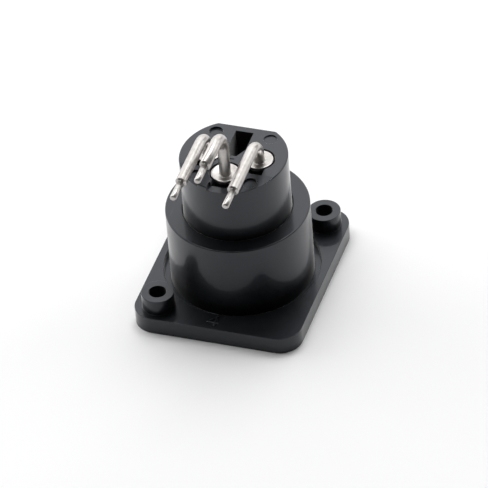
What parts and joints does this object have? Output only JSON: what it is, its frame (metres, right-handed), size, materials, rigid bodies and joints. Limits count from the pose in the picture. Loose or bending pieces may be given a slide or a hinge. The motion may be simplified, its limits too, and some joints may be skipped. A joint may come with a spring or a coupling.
{
  "type": "xlr panel socket",
  "caption": "Male audio connector socket for a panel, with a round barrel behind a rectangular flange, screw bosses in opposite corners and bent solder tails for a circuit board",
  "frame": {"origin": "centre of the flange's front face, which bears on the back of the panel", "axes": "+Z out of the back of the socket, -Y towards the circuit board, X along the short side of the flange"},
  "size_m": [0.0264, 0.0315, 0.0331],
  "materials": {
    "housing_plastic": "glossy black moulded plastic",
    "insert_plastic": "satin black moulded plastic",
    "contact_metal": "bright silver plating"
  },
  "bodies": {
    "root": {"housing": "housing_plastic", "insert": "insert_plastic", "contact_1": "contact_metal", "contact_2": "contact_metal", "contact_3": "contact_metal"}
  },
  "joints": []
}
